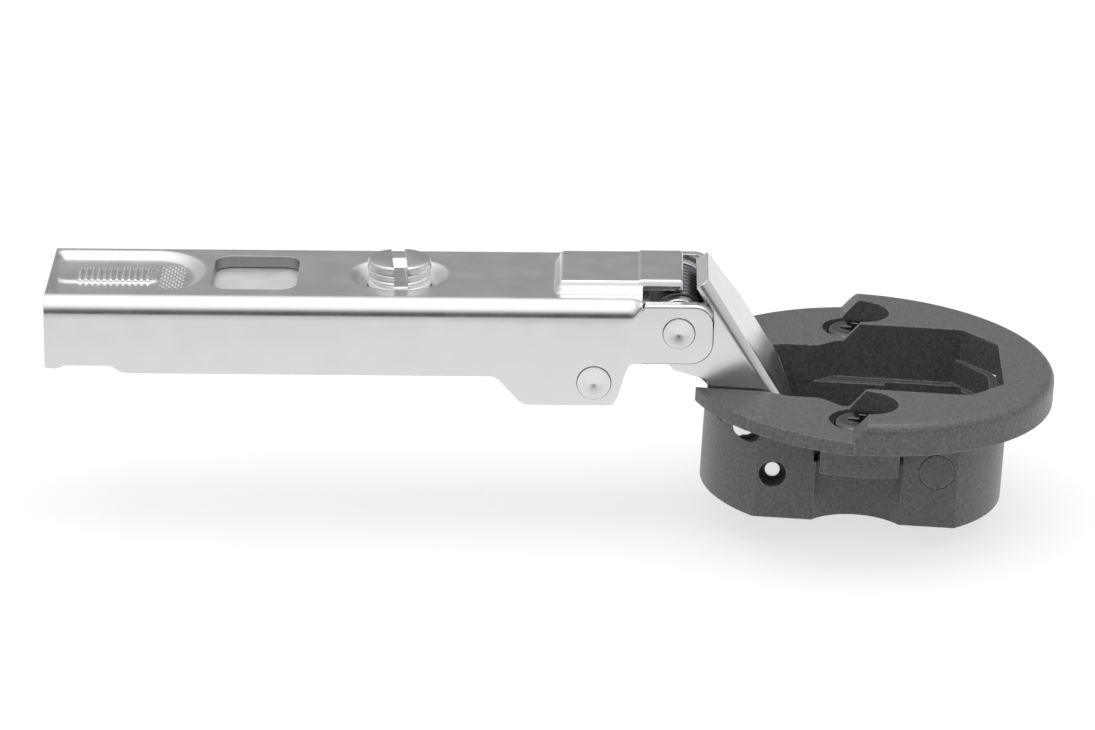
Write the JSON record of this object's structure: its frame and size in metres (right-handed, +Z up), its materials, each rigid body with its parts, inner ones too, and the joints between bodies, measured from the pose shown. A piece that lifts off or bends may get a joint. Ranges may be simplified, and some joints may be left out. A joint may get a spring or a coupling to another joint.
{
  "type": "concealed cup hinge",
  "caption": "Concealed cabinet door hinge, open: folded steel arm with adjusting screw, two crossing links on riveted pivots, black nylon cup with clamp screws.",
  "frame": {"origin": "on the side-adjusting screw's axis, on the plane of the arm's bottom edges, midway across the arm", "axes": "+X along the arm from its rear end towards the cup; +Y across the arm; +Z up through the arm's top"},
  "size_m": [0.0864, 0.0344, 0.0209],
  "materials": {
    "plated_steel": "bright nickel-plated sheet steel, fine satin grain",
    "rivet_steel": "nickel-plated rivets and pins, smooth",
    "screw_steel": "nickel-plated screws, bright",
    "spring_steel": "dark oiled spring wire",
    "black_nylon": "black moulded nylon, fine matt grain"
  },
  "bodies": {
    "arm": {"arm_channel": "plated_steel", "front_pivot_rivet": "rivet_steel", "rear_pivot_rivet": "rivet_steel", "closing_spring": "spring_steel", "spring_sleeve": "black_nylon", "catch_spring": "spring_steel"},
    "adjuster": {"side_adjust_screw": "screw_steel"},
    "catch": {"clip_catch": "plated_steel"},
    "front_link": {"outer_link": "plated_steel"},
    "rear_link": {"inner_link": "plated_steel"},
    "cup": {"cup_boss": "black_nylon", "deep_cup_pin": "rivet_steel", "shallow_cup_pin": "rivet_steel"},
    "front_screw": {"front_clamp_screw": "screw_steel"},
    "back_screw": {"back_clamp_screw": "screw_steel"}
  },
  "joints": [
    {"name": "cup_swing", "type": "hinge", "parent": "front_link", "child": "cup", "pos_m": [0.03206, 0, -0.00769], "axis": [0, -1, 0], "range_deg": [0, 116]},
    {"name": "front_link_swing", "type": "hinge", "parent": "arm", "child": "front_link", "pos_m": [0.024, 0, 0.004], "axis": [0, -1, 0], "range_deg": [-30, 0]},
    {"name": "rear_link_swing", "type": "hinge", "parent": "cup", "child": "rear_link", "pos_m": [0.02982, 0, -0.00392], "axis": [0, -1, 0], "range_deg": [-175, 0]},
    {"name": "adjuster_turn", "type": "hinge", "parent": "arm", "child": "adjuster", "pos_m": [0, 0, 0.004], "axis": [0, 0, 1], "continuous": true},
    {"name": "catch_slide", "type": "slide", "parent": "arm", "child": "catch", "axis": [-1, 0, 0], "range_m": [0, 0.0015], "stiffness_N_per_m": 400, "deforming": ["catch_spring"]},
    {"name": "front_screw_turn", "type": "hinge", "parent": "cup", "child": "front_screw", "pos_m": [0.03957, -0.0116, -0.00286], "axis": [0.0558, 0, 0.9984], "continuous": true},
    {"name": "back_screw_turn", "type": "hinge", "parent": "cup", "child": "back_screw", "pos_m": [0.03957, 0.0116, -0.00286], "axis": [0.0558, 0, 0.9984], "continuous": true}
  ],
  "couplings": [
    {"joint": "front_link_swing", "follows": "cup_swing", "ratio": -0.2},
    {"joint": "rear_link_swing", "follows": "cup_swing", "ratio": -1.21}
  ]
}
